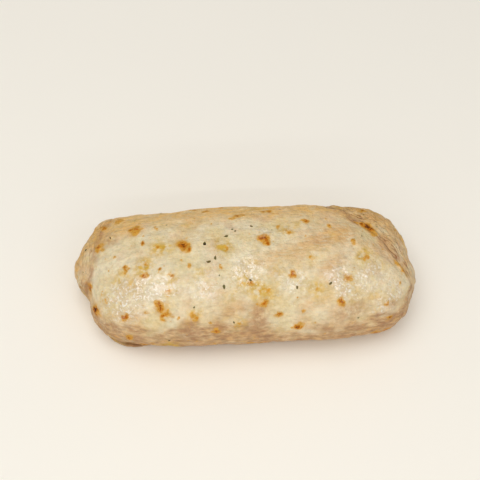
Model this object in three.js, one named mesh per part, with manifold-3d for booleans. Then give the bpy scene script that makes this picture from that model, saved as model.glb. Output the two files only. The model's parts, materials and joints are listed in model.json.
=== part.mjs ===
// A burrito: one large flour tortilla, its two sides folded in and the whole rolled round its filling.
//
// Frame: +X along the roll, +Y towards its back, +Z up, origin at the middle of what it rests on.
// It is one solid, fused from the forms that its surface shows:
//   the inner roll, whose closed ends stand out of the wrap, a nose on the left and a shoulder on the right,
//   the wrap, the last turn of the tortilla, which comes over the top from the back, runs down the front
//   and ends in a free edge low at the front. Its folded-in sides close it to a dome round each end,
//   the lip, the rim of the turn below, which lies out from under the front of the left end.
// The two rolls are runs of flattened oval sections with soft relief. The flat underneath is cut last.

import * as THREE from 'three';
import { mergeVertices } from 'three/addons/utils/BufferGeometryUtils.js';
import Module from 'manifold-3d';

// Driving dimensions, in millimetres
const LENGTH = 190; // nose to nose
const WIDTH = 79; // across the middle of the roll
const HEIGHT = 53; // top of the roll above what it rests on
const TORTILLA = 2; // one layer of tortilla
const BELT_HEIGHT = 22; // where the middle section is widest
const SAG = 4; // how much of the section's foot is pressed flat
const BOW = 3.5; // how far the middle is bowed towards the back
const SQUARENESS = 2.25; // of the sections, where 2 is an ellipse and more is boxier
const RINGS = 62; // sections along each roll
const AROUND = 76; // points round each section

// Angles round a section are in degrees: 0 is the back, 90 the top, 180 the front and 270 underneath.
const DEGREE = Math.PI / 180;
const TURN = 360;

// A side of a roll stays wide for longer the larger its fullness, and closes more bluntly the larger
// its bluntness. The lean tips the dome of an end, so that it reaches further at one side.
const WRAP = {
  inset: 0,
  left: {
    reach: 88.6,
    nose: { y: 4.6, z: -6 },
    back: { fullness: 8.5, bluntness: 2.9 },
    front: { fullness: 2.5, bluntness: 5.2 },
    height: { fullness: 4.2, bluntness: 3.7 },
    lean: { y: -0.13, z: -0.07 },
  },
  right: {
    reach: 89.8,
    nose: { y: 0.3, z: -4 },
    back: { fullness: 8.3, bluntness: 4.5 },
    front: { fullness: 3.4, bluntness: 3.4 },
    height: { fullness: 4.1, bluntness: 3.9 },
    lean: { y: -0.17, z: -0.03 },
  },
};

// The inner roll's pleats are turned on a little from those of the wrap.
const INNER_TURN = 14;
const INNER_ROLL = {
  inset: TORTILLA,
  left: {
    reach: LENGTH / 2 + 1.5,
    nose: { y: 12, z: -3 },
    back: { fullness: 7.6, bluntness: 1.35 },
    front: { fullness: 3.3, bluntness: 1.7 },
    height: { fullness: 4.9, bluntness: 2.3 },
    lean: { y: 0, z: 0 },
  },
  right: {
    reach: LENGTH / 2 - 2,
    nose: { y: 6.5, z: -2 },
    back: { fullness: 8.1, bluntness: 1.9 },
    front: { fullness: 5.6, bluntness: 4.4 },
    height: { fullness: 5.4, bluntness: 2.5 },
    lean: { y: 0, z: 0 },
  },
};

// The free edge, where the last turn ends. It wavers along its way, and its face is steep.
const FREE_EDGE = { angle: 216, waver: 2, waves: 4, face: 0.5 };

// Folds gathered towards the ends, each a valley along the roll that deepens from its start to where
// the end turns over, and is lost again at the nose.
const PLEATS = {
  deepest: 0.95,
  lost: { radius: 0.1, full: 0.6 },
  left: [
    { angle: 62, halfWidth: 7, depth: 1.3, start: 0.72 },
    { angle: 84, halfWidth: 6, depth: 1.0, start: 0.8 },
    { angle: 128, halfWidth: 9, depth: 0.8, start: 0.82 },
    { angle: 172, halfWidth: 8, depth: 0.9, start: 0.84 },
    { angle: 350, halfWidth: 9, depth: 1.2, start: 0.74 },
    { angle: 22, halfWidth: 8, depth: 1.0, start: 0.8 },
  ],
  right: [
    { angle: 30, halfWidth: 8, depth: 1.0, start: 0.7 },
    { angle: 58, halfWidth: 7, depth: 1.2, start: 0.66 },
    { angle: 112, halfWidth: 8, depth: 0.7, start: 0.84 },
    { angle: 158, halfWidth: 9, depth: 1.0, start: 0.82 },
    { angle: 196, halfWidth: 8, depth: 1.1, start: 0.84 },
    { angle: 345, halfWidth: 9, depth: 0.9, start: 0.76 },
  ],
};

// Swells where the filling pushes the tortilla out, and dents where it doesn't.
const SWELLS = [
  { at: [92, -6, 24], size: 9, height: 3 },
  { at: [91, -18, 14], size: 8, height: -1.5 },
  { at: [-75, 34, 33], size: 11, height: 2.6 },
  { at: [-90, 26, 24], size: 9, height: -2.2 },
  { at: [-52, -22, 44], size: 26, height: 0.9 },
  { at: [12, 6, 54], size: 22, height: -0.9 },
  { at: [46, -20, 46], size: 24, height: 0.9 },
  { at: [-14, 34, 36], size: 30, height: 0.6 },
  { at: [-40, 40, 34], size: 18, height: -0.9 },
  { at: [-30, -38, 22], size: 18, height: -0.8 },
  { at: [20, -38, 20], size: 20, height: -0.5 },
];

// Creases where the wrap's sides are folded in over the ends of the inner roll. Each is a valley
// along a curve, and the wrap's hem swells beside it.
const CREASES = [
  {
    through: [
      [40, 42, 30],
      [50, 31, 42],
      [60, 20.5, 48],
      [69.5, 12, 47.5],
      [76.5, 3, 45.5],
      [84, -4.6, 40],
      [88.5, -13, 34],
      [90.5, -19, 24],
      [86, -24, 12],
    ],
    depth: 1.7,
    halfWidth: 4.8,
  },
  {
    through: [
      [-66, 41, 24],
      [-73, 35, 36],
      [-79, 21, 41.5],
      [-82, 8, 41.5],
      [-84, 0, 38.5],
      [-87, -5, 30],
      [-88, -6, 18],
      [-86, 0, 6],
    ],
    depth: 1.6,
    halfWidth: 4.6,
  },
  {
    through: [
      [67, 7.5, 48],
      [72, 2.5, 47.5],
      [76, -3, 45.6],
      [80, -8.5, 43],
    ],
    depth: 0.8,
    halfWidth: 3.6,
  },
];
const HEM = { away: 8, halfWidth: 4.5, height: 0.5 };

// The folds are rounded from some way along the roll to its ends.
const SOFTENING = { passes: 3, share: 0.5, from: 40, full: 58 };

// The outer rim of the lip on the floor, from the left end round to the front.
const LIP = {
  rim: [
    [-86, -5],
    [-84, -12],
    [-80, -18.5],
    [-75, -24],
    [-68, -27.5],
    [-60, -28],
    [-51, -26],
    [-40, -20],
    [-30, -12],
  ],
  root: [-56, 0],
  thickness: 2.4,
  bevel: 0.8,
};

const wasm = await Module();
wasm.setup();

const { clamp, euclideanModulo, smoothstep } = THREE.MathUtils;

// A power that keeps the sign of its base, which squares up a circle into a fuller oval.
const signedPower = (base, exponent) => Math.sign(base) * Math.abs(base) ** exponent;

// How wide a roll still is at a station, from 1 at the middle to 0 at the nose.
const closing = (station, { fullness, bluntness }) =>
  (1 - Math.abs(station) ** fullness) ** (1 / bluntness);

// The shorter way round from one angle to another.
const angleBetween = (from, to) => euclideanModulo(to - from + TURN / 2, TURN) - TURN / 2;

// A point of a roll's smooth form, at a station from -1 to 1 along it and an angle round it.
function formPoint(roll, station, angle) {
  const end = station < 0 ? roll.left : roll.right;
  const towardsEnd = Math.abs(station) ** 3; // slow at first, so that the middle stays straight
  const cos = Math.cos(angle * DEGREE);
  const sin = Math.sin(angle * DEGREE);
  const halfWidth = WIDTH / 2 - roll.inset;
  const halfHeight = (sin > 0 ? HEIGHT - BELT_HEIGHT : BELT_HEIGHT + SAG) - roll.inset;
  const side = cos > 0 ? end.back : end.front;
  const across = halfWidth * closing(station, side) * signedPower(cos, 2 / SQUARENESS);
  const above = halfHeight * closing(station, end.height) * signedPower(sin, 2 / SQUARENESS);
  return new THREE.Vector3(
    station * end.reach + towardsEnd * (end.lean.y * across + end.lean.z * above),
    towardsEnd * end.nose.y + BOW * (1 - station ** 2) + across,
    BELT_HEIGHT + towardsEnd * end.nose.z + above,
  );
}

// Where the free edge runs at a station.
const freeEdgeAngle = (station) =>
  FREE_EDGE.angle + FREE_EDGE.waver * Math.sin(FREE_EDGE.waves * station + 1);

// The last turn lies on the turn below: its thickness is gained on the way round to its free edge.
function layer(station, angle) {
  const beforeEdge = euclideanModulo(freeEdgeAngle(station) - angle, TURN);
  return TORTILLA * (0.5 - beforeEdge / TURN);
}

function pleats(roll, station, angle) {
  const [end, folds] = station < 0 ? [roll.left, PLEATS.left] : [roll.right, PLEATS.right];
  const clearOfNose = smoothstep(closing(station, end.height), PLEATS.lost.radius, PLEATS.lost.full);
  return folds.reduce((relief, { angle: middle, halfWidth, depth, start }) => {
    const aside = angleBetween(middle, angle) / halfWidth;
    const along = smoothstep(Math.abs(station), start, PLEATS.deepest);
    return relief - depth * Math.exp(-(aside ** 2)) * along * clearOfNose;
  }, 0);
}

function swells(point) {
  return SWELLS.reduce((relief, { at, size, height }) => {
    const away = point.distanceTo(new THREE.Vector3(...at)) / size;
    return relief + height * Math.exp(-(away ** 2));
  }, 0);
}

const creaseCurves = CREASES.map(({ through, depth, halfWidth }) => {
  const curve = new THREE.CatmullRomCurve3(through.map((place) => new THREE.Vector3(...place)));
  return { samples: curve.getSpacedPoints(80), depth, halfWidth };
});

function creases(point, hem) {
  return creaseCurves.reduce((relief, { samples, depth, halfWidth }) => {
    const away = Math.sqrt(Math.min(...samples.map((sample) => sample.distanceToSquared(point))));
    const valley = depth * Math.exp(-((away / halfWidth) ** 2));
    const swell = hem * depth * Math.exp(-(((away - HEM.away) / HEM.halfWidth) ** 2));
    return relief - valley + swell;
  }, 0);
}

// The outline of a roll seen from the front, which spaces its rings evenly from nose to nose.
class Outline extends THREE.Curve {
  constructor(roll) {
    super();
    this.roll = roll;
    this.arcLengthDivisions = 1000;
  }

  // The blunt noses need far closer stations than the middle.
  stationAt(t) {
    const packing = 4;
    const along = 2 * t - 1;
    return Math.sign(along) * (1 - (1 - Math.abs(along)) ** packing);
  }

  getPoint(t) {
    return formPoint(this.roll, this.stationAt(t), 90);
  }

  spacedStation(fraction) {
    return this.stationAt(this.getUtoTmapping(clamp(fraction, 0, 1)));
  }
}

// Angles round a section, with two close together at the free edge.
function anglesRound(station) {
  const edge = freeEdgeAngle(station);
  const spaced = AROUND - 1;
  return [edge, ...Array.from({ length: spaced }, (_, j) => edge + FREE_EDGE.face + (TURN * j) / spaced)];
}

// A roll as a closed solid: rings of points from nose to nose, pushed out by their relief.
function rollSolid(roll, relief) {
  const outline = new Outline(roll);
  const step = 1 / (RINGS + 1);
  const turn = TURN / AROUND / 2;
  const smoothPoint = (fraction, angle) => formPoint(roll, outline.spacedStation(fraction), angle);
  const facing = (fraction, angle) => {
    const along = smoothPoint(fraction + step / 2, angle).sub(smoothPoint(fraction - step / 2, angle));
    const round = smoothPoint(fraction, angle + turn).sub(smoothPoint(fraction, angle - turn));
    return round.cross(along).normalize();
  };
  const sections = Array.from({ length: RINGS }, (_, ring) => {
    const fraction = (ring + 1) * step;
    const station = outline.spacedStation(fraction);
    return anglesRound(station).map((angle) => {
      const point = smoothPoint(fraction, angle);
      return point.addScaledVector(facing(fraction, angle), relief(station, angle, point));
    });
  });
  const nose = (sign) => {
    const point = formPoint(roll, sign, 0);
    point.x += sign * relief(sign, FREE_EDGE.angle + TURN / 2, point);
    return point;
  };
  const points = [nose(-1), ...sections.flat(), nose(1)];
  const last = points.length - 1;
  const at = (ring, j) => 1 + ring * AROUND + (j % AROUND);
  const faces = [];
  for (let j = 0; j < AROUND; j++) {
    faces.push(0, at(0, j + 1), at(0, j));
    faces.push(last, at(RINGS - 1, j), at(RINGS - 1, j + 1));
  }
  for (let ring = 0; ring < RINGS - 1; ring++) {
    for (let j = 0; j < AROUND; j++) {
      faces.push(at(ring, j), at(ring + 1, j + 1), at(ring + 1, j));
      faces.push(at(ring, j), at(ring, j + 1), at(ring + 1, j + 1));
    }
  }
  const geometry = new THREE.BufferGeometry().setFromPoints(points);
  geometry.setIndex(faces);
  return solidOf(geometry);
}

// The manifold-3d solid of a closed geometry.
function solidOf(geometry) {
  geometry.deleteAttribute('normal');
  geometry.deleteAttribute('uv');
  const merged = mergeVertices(geometry, 1e-4);
  const mesh = new wasm.Mesh({
    numProp: 3,
    vertProperties: merged.attributes.position.array,
    triVerts: new Uint32Array(merged.index.array),
  });
  return new wasm.Manifold(mesh);
}

const wrapRelief = (station, angle, point) =>
  layer(station, angle) + pleats(WRAP, station, angle) + swells(point) + creases(point, HEM.height);
const innerRelief = (station, angle, point) =>
  pleats(INNER_ROLL, station, angle + INNER_TURN) + swells(point) + creases(point, 0);
const wrap = rollSolid(WRAP, wrapRelief);
const inner = rollSolid(INNER_ROLL, innerRelief);

// The lip, a thin sheet that reaches from under the roll to its rim.
function lipSolid() {
  const outline = new THREE.Shape();
  outline.moveTo(...LIP.root);
  outline.lineTo(...LIP.rim[0]);
  outline.splineThru(LIP.rim.slice(1).map((place) => new THREE.Vector2(...place)));
  outline.closePath();
  const sheet = new THREE.ExtrudeGeometry(outline, {
    depth: LIP.thickness,
    bevelThickness: LIP.bevel,
    bevelSize: LIP.bevel,
    bevelOffset: -LIP.bevel,
    bevelSegments: 2,
    curveSegments: 3,
  });
  return solidOf(sheet.translate(0, 0, -LIP.bevel));
}

// The geometry of a solid.
function geometryOf(solid) {
  const { vertProperties, triVerts } = solid.getMesh();
  const geometry = new THREE.BufferGeometry();
  geometry.setAttribute('position', new THREE.BufferAttribute(vertProperties, 3));
  geometry.setIndex(new THREE.BufferAttribute(triVerts, 1));
  return geometry;
}

// Moves each point near the ends towards its neighbours, which rounds the folds as soft dough does.
function soften(geometry) {
  const points = geometry.attributes.position;
  const neighbours = Array.from({ length: points.count }, () => new Set());
  const corners = geometry.index.array;
  for (let i = 0; i < corners.length; i++) {
    const next = i % 3 === 2 ? i - 2 : i + 1;
    neighbours[corners[i]].add(corners[next]);
    neighbours[corners[next]].add(corners[i]);
  }
  const place = (i) => new THREE.Vector3().fromBufferAttribute(points, i);
  for (let pass = 0; pass < SOFTENING.passes; pass++) {
    const moved = neighbours.map((near, i) => {
      const here = place(i);
      const middle = new THREE.Vector3();
      near.forEach((j) => middle.addScaledVector(place(j), 1 / near.size));
      const softness = smoothstep(Math.abs(here.x), SOFTENING.from, SOFTENING.full);
      return here.lerp(middle, SOFTENING.share * softness);
    });
    moved.forEach(({ x, y, z }, i) => points.setXYZ(i, x, y, z));
  }
  return geometry;
}

const rolled = solidOf(soften(geometryOf(wrap.add(inner))));
const below = new THREE.BoxGeometry(2 * LENGTH, 2 * LENGTH, LENGTH).translate(0, 0, -LENGTH / 2);
const geometry = geometryOf(rolled.add(lipSolid()).subtract(solidOf(below)));
geometry.computeBoundingBox();
const middle = geometry.boundingBox.getCenter(new THREE.Vector3());
geometry.translate(-middle.x, -middle.y, 0);
const tortilla = new THREE.MeshStandardMaterial({ color: '#dcc9ac', roughness: 0.5 });
const burrito = new THREE.Mesh(geometry, tortilla);
burrito.name = 'burrito';
const group = new THREE.Group();
group.add(burrito);

export default group;
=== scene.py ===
"""Dresses the burrito: a toasted tortilla with folds, blisters and browning, herb flecks and a stage.

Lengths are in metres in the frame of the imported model: +X along the roll, +Y towards its back, +Z up.
Listed places are in millimetres. A mark on the tortilla is placed by how far along the roll it is and
by its angle round the roll in degrees: 0 is the back, 90 the top, 180 the front. Listed places
follow the photograph. For many of them, points picked in it by eye or found by a peak finder were
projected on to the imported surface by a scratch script, and typed in rounded or moved a little. The
camera's aim, roll and lens come from a fit to the photograph's outline.
"""

import json
import math

import bpy
import numpy as np
from mathutils import Matrix, Vector

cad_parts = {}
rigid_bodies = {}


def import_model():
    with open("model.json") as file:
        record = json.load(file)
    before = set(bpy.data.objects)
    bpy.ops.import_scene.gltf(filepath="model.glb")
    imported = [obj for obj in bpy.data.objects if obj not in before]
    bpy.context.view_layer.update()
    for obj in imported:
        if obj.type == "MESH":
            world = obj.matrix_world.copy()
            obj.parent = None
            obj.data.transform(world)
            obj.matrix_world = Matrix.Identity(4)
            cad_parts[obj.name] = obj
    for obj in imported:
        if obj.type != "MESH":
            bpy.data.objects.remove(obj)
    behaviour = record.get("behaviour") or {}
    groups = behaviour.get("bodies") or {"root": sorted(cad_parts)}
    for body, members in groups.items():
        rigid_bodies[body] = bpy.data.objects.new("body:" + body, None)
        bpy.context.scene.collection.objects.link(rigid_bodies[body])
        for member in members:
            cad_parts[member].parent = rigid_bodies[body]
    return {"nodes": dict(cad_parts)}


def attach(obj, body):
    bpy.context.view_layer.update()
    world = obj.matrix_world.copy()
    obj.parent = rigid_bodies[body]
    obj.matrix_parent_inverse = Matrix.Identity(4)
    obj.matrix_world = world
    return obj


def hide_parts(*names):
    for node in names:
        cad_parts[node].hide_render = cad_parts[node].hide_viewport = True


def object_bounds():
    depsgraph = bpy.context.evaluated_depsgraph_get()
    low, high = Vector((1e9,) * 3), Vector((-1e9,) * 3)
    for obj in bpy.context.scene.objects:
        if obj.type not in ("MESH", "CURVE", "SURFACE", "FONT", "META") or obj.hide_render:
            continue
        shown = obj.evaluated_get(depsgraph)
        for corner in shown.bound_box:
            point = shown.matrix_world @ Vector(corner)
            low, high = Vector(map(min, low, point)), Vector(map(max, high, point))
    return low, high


bl_info = {
    "name": "Toasted burrito",
    "version": (1, 0, 0),
    "blender": (4, 5, 0),
    "location": "3D View > Sidebar > Burrito",
    "description": "Models a griddled burrito over its packed solid",
    "category": "Object",
}

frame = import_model()
CAD_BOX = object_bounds()

MM = 0.001
NODE = "burrito"
BELT_HEIGHT = 22  # mm, where the roll's sections are widest
ROLL_RADIUS = 34  # mm, the mean radius of a section, which turns angles into distances
IN_VIEW = (40, 190)  # the angles round the roll that the camera sees, where marks are listed singly

# How a listed mark is drawn: how much wider than its radius, and dark as STRENGTH * dark ** CONTRAST.
# Its amber halo is a little wider and weaker.
MARK_SPREAD = 1.22
MARK_STRENGTH = 1.2
MARK_CONTRAST = 1.15
HALO_SPREAD = 1.1
HALO_STRENGTH = 0.6
YELLOW_STRENGTH = 1.15

# The outlines of marks are made uneven by moving the points aside first, up to about WARP mm.
WARP = 0.95
WARP_SIZE = 2.4

# Soft noise is read from a cube of random numbers with this many to a side, and scaled by this much.
CLOUD_CELLS = 32
CLOUD_GAIN = 1.6

# The relief comes in over these heights, and points under ON_FLOOR are set on the floor, in mm.
CLEAR_OF_FLOOR = (0.3, 4)
ON_FLOOR = 0.5

# What is strewn at random: a number, then limits of the radius in mm and of the strength.
PUFFS = (170, (2.0, 4.5), (0.2, 0.8))
FRECKLES = (260, (0.8, 1.7), (0.2, 0.52))
HIDDEN_MARKS = (110, (2, 4), (0.5, 1.05))
HIDDEN_YELLOW = (60, (3, 6), (0.3, 0.7))

# How a herb fleck is made: a disc with this many corners and this radius as a share of its size, then
# stretched and crumpled at each corner, between two limits. The strewn flecks' sizes are in mm.
FLECK_CORNERS = 7
FLECK_RADIUS = 0.72
FLECK_LENGTHS = (0.7, 1.3)
FLECK_WIDTHS = (0.4, 0.8)
FLECK_CRUMPLE = 0.3
STREWN_SIZES = (0.5, 1.0)

# Where the wrap is folded in over the ends of the inner roll, as curves on the surface in mm. Each is
# followed so that the inner roll is on its left.
CREASES = {
    "shoulder": [
        (36, 38, 28),
        (47, 31, 39),
        (57, 22.5, 45),
        (62.5, 16, 46.5),
        (69.5, 9.5, 46),
        (76.5, 1, 44.3),
        (84, -7, 39.5),
        (88.5, -16, 34),
        (90, -22, 24),
        (85.5, -27, 12),
    ],
    "nose": [
        (-88, -6, 12),
        (-88.5, -6.5, 24),
        (-86, -5.5, 34),
        (-84, -2, 38.2),
        (-82, 7, 40.8),
        (-80, 17, 40.7),
        (-76, 27.5, 39),
        (-72, 33, 34),
        (-66, 38, 22),
    ],
    "tuck": [
        (79, -10, 44),
        (75, -4, 45.7),
        (71, 1.5, 46.7),
    ],
    "slack": [
        (44, -9, 52.5),
        (48, -13, 51.8),
        (51, -20, 49.7),
    ],
}

# The creases that divide the wrap from the inner roll. The others are small folds of the wrap.
MAIN_CREASES = ("shoulder", "nose")

# Toasted marks: how far along, angle round, radius in mm and how dark, where over 1 is nearly black.
TOASTED = [
    (-59, 59, 3.2, 1.05),
    (-61, 58, 2.2, 0.7),
    (-34.5, 87, 3.3, 1.1),
    (-31, 92, 2.2, 0.7),
    (-33, 80, 1.8, 0.55),
    (-56, 79, 1.6, 1.15),
    (10, 83, 3.3, 1.15),
    (11, 88, 2.0, 0.8),
    (33, 64, 2.6, 0.85),
    (46, 71, 2.0, 0.6),
    (17.5, 68, 1.6, 0.6),
    (23, 75, 3.0, 0.55),
    (58, 90, 1.8, 0.95),
    (62, 58, 1.4, 0.7),
    (65, 60, 1.8, 0.9),
    (68, 63, 2.2, 1.4),
    (70, 67, 2.4, 1.2),
    (71, 74, 2.4, 0.7),
    (81, 112, 2.2, 0.5),
    (83, 117, 2.6, 0.75),
    (85, 126, 2.4, 0.7),
    (87, 136, 2.2, 0.5),
    (52, 129, 2.8, 0.85),
    (48, 147, 2.6, 0.95),
    (23, 122, 2.4, 0.85),
    (1, 128, 2.2, 0.8),
    (7, 145, 2.6, 0.8),
    (9, 134, 2.4, 0.5),
    (15, 155, 2.8, 0.7),
    (27.5, 153.5, 1.9, 0.6),
    (25, 167, 2.8, 1.2),
    (-18, 170, 3.0, 0.9),
    (-6, 162, 1.8, 0.55),
    (-22, 159, 1.6, 0.6),
    (-48, 143, 2.7, 1.05),
    (-48, 146, 2.2, 0.95),
    (-46, 153, 2.5, 1.0),
    (-43, 151, 2.2, 0.7),
    (-55, 150, 2.0, 0.6),
    (-67, 157, 2.7, 1.1),
    (-83, 166, 3.3, 1.3),
    (-85, 138, 3.4, 1.2),
    (-66, 184, 3.0, 0.95),
    (-32, 110, 1.8, 0.6),
    (-55, 117, 2.4, 1.0),
    (-65, 107, 2.0, 0.65),
    (-65, 112, 1.6, 0.55),
    (-80, 64, 3.0, 0.9),
    (-78, 70, 2.0, 0.6),
    (-78, 35, 2.8, 0.8),
    (-71, 92, 1.5, 0.6),
    (-47, 112, 1.4, 0.65),
    (-48, 60, 1.6, 0.5),
    (-41, 118, 2.0, 0.6),
    (-10, 93, 1.8, 0.65),
    (-14, 112, 1.2, 0.6),
    (-43, 132, 2.1, 0.7),
    (-30, 152.5, 1.8, 0.5),
    (-30, 156, 2.2, 0.8),
    (74, 155, 2.0, 0.75),
    (76, 172, 2.0, 0.8),
    (-69, 35, 2.8, 0.75),
    (-7, 55, 1.8, 0.55),
    (-4, 53, 2.2, 0.7),
    (-1, 51, 1.8, 0.6),
    (11, 43, 2.0, 0.6),
    (15, 41, 2.4, 0.7),
    (-73, 26, 2.6, 0.6),
    (34, 108, 1.4, 0.6),
    (64, 108, 2.2, 0.7),
    (-76, 146, 2.2, 0.55),
    (35, 138, 1.5, 0.5),
    (-47.5, 87, 1.7, 0.6),
    (-55, 105, 1.6, 0.6),
]

# Yellowed patches, with the same four numbers, where 1 is a full golden yellow.
YELLOWED = [
    (-48, 86, 5.0, 0.8),
    (-43, 90, 3.5, 0.6),
    (-55, 106, 4.5, 0.8),
    (-57, 112, 3.5, 0.6),
    (22, 75, 5.0, 0.7),
    (-14, 89, 4.5, 0.8),
    (-10, 92, 4.0, 0.6),
    (3, 111, 4.0, 0.4),
    (34, 108, 5.0, 0.4),
    (65, 106, 5.5, 0.7),
    (60, 110, 4.0, 0.5),
    (35, 137, 5.0, 0.8),
    (-69, 124, 5.0, 0.6),
    (-76, 146, 5.0, 0.5),
    (-41, 121, 4.0, 0.7),
    (-26, 117, 4.0, 0.5),
    (55, 141, 5.0, 0.5),
    (22, 143, 5.0, 0.3),
    (-3, 126, 4.0, 0.9),
    (5, 134, 6.0, 0.9),
    (-9, 137, 4.0, 0.4),
    (12, 140, 4.0, 0.5),
    (-30, 152, 4.5, 0.6),
    (-6, 161, 4.0, 0.6),
    (-35, 84, 4.5, 0.5),
    (71, 118, 4.0, 0.4),
    (-43, 132, 3.0, 0.9),
    (-62, 126, 4.0, 0.5),
    (-66, 112, 4.0, 0.5),
    (46, 84, 3.5, 0.4),
    (30, 66, 3.5, 0.5),
    (-30, 62, 4.0, 0.4),
    (14, 120, 3.5, 0.5),
    (66, 147, 4.0, 0.4),
]

# Patches of the palest dough.
STEAMED = [
    (-49, 104, 9.0, 1.0),
    (-66, 108, 7.0, 0.7),
    (-82, 112, 5.0, 0.5),
    (-24, 98, 8.0, 0.5),
    (-24, 146, 8.0, 0.6),
    (22, 152, 8.0, 0.5),
    (34, 120, 6.0, 0.3),
    (60, 100, 6.0, 0.4),
    (-66, 76, 6.0, 0.5),
    (84, 140, 6.0, 0.5),
]

# Bruises, where the filling shows through the tortilla.
BRUISED = [
    (3, 158, 6.0, 0.8),
    (5, 150, 4.0, 0.5),
    (0, 172, 6.0, 0.6),
    (-32, 168, 5.0, 0.9),
    (-36, 172, 4.0, 0.5),
    (38, 91, 3.0, 0.4),
    (44, 87, 3.0, 0.4),
    (57, 155, 6.0, 0.6),
    (50, 158, 5.0, 0.5),
    (40, 172, 7.0, 0.5),
    (-75, 55, 5.0, 0.5),
    (-72, 66, 4.0, 0.4),
    (48, 112, 4.0, 0.4),
    (-58, 128, 6.0, 0.3),
    (76, 158, 5.0, 0.4),
]

# Tanned patches, which run slanting over the top and hem the left-hand fold.
TANNED = [
    (5, 109, 4.0, 0.45),
    (12, 104, 4.5, 0.5),
    (19, 100, 5.0, 0.5),
    (27, 96, 6.0, 0.45),
    (35, 92, 6.5, 0.45),
    (42, 88, 7.0, 0.45),
    (49, 85, 7.0, 0.5),
    (56, 78, 7.0, 0.5),
    (44, 72, 8.0, 0.3),
    (54, 66, 8.0, 0.35),
    (32, 78, 7.0, 0.3),
    (44, 116, 5.0, 0.5),
    (50, 108, 5.0, 0.4),
    (38, 122, 6.0, 0.4),
    (26, 110, 6.0, 0.3),
    (40, 146, 8.0, 0.4),
    (-10, 148, 8.0, 0.3),
    (-58, 60, 4.0, 0.4),
    (-62, 82, 5.0, 0.3),
    (-50, 96, 4.0, 0.3),
    (-66, 166, 6.0, 0.3),
    (12, 116, 5.0, 0.3),
    (30, 148, 6.0, 0.4),
    (78, 110, 5.0, 0.5),
    (64, 150, 6.0, 0.3),
    (-87, 120, 4.5, 0.5),
    (-87, 138, 4.5, 0.7),
    (-86, 152, 4.5, 0.7),
    (-82, 168, 5.0, 0.5),
    (70, 100, 5.0, 0.5),
    (62, 94, 5.0, 0.4),
    (80, 132, 5.0, 0.3),
    (-30, 66, 8.0, 0.3),
]

# Patches that are wet with sauce and butter.
WET = [
    (-68, 143, 11.0, 1.0),
    (-46, 129, 8.0, 0.7),
    (-57, 126, 7.0, 0.4),
    (-1, 117, 9.0, 0.7),
    (-24, 132, 8.0, 0.55),
    (47, 126, 7.0, 0.8),
    (67, 126, 8.0, 0.8),
    (78, 149, 7.0, 0.8),
    (70, 159, 5.0, 0.6),
    (52, 139, 6.0, 0.7),
    (62, 134, 4.0, 0.6),
    (8, 76, 5.0, 0.6),
    (24, 128, 7.0, 0.6),
]

# Herb flecks that lie on the tortilla: how far along, angle round, and size in mm, which is about two
# thirds of the length.
HERBS = [
    (-22.4, 87, 1.9),
    (-13.8, 131, 1.9),
    (-10.8, 78, 1.5),
    (3.3, 67, 1.2),
    (-6.7, 70, 1.0),
    (-5.2, 73, 0.9),
    (-21.4, 107, 1.7),
    (-17.1, 103, 1.6),
    (42.4, 132, 1.3),
    (24.7, 134, 1.2),
    (0.1, 126, 1.1),
    (-30.1, 146, 0.9),
    (-87.9, 43, 1.0),
    (-43.7, 181, 1.2),
    (63, 82, 0.8),
    (58, 165, 0.8),
]


def linear(red, green, blue):
    """A colour given as it shows on a screen, from 0 to 255, as Blender's linear one."""
    shares = (value / 255 for value in (red, green, blue))
    return tuple(s / 12.92 if s <= 0.04045 else ((s + 0.055) / 1.055) ** 2.4 for s in shares)


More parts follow.
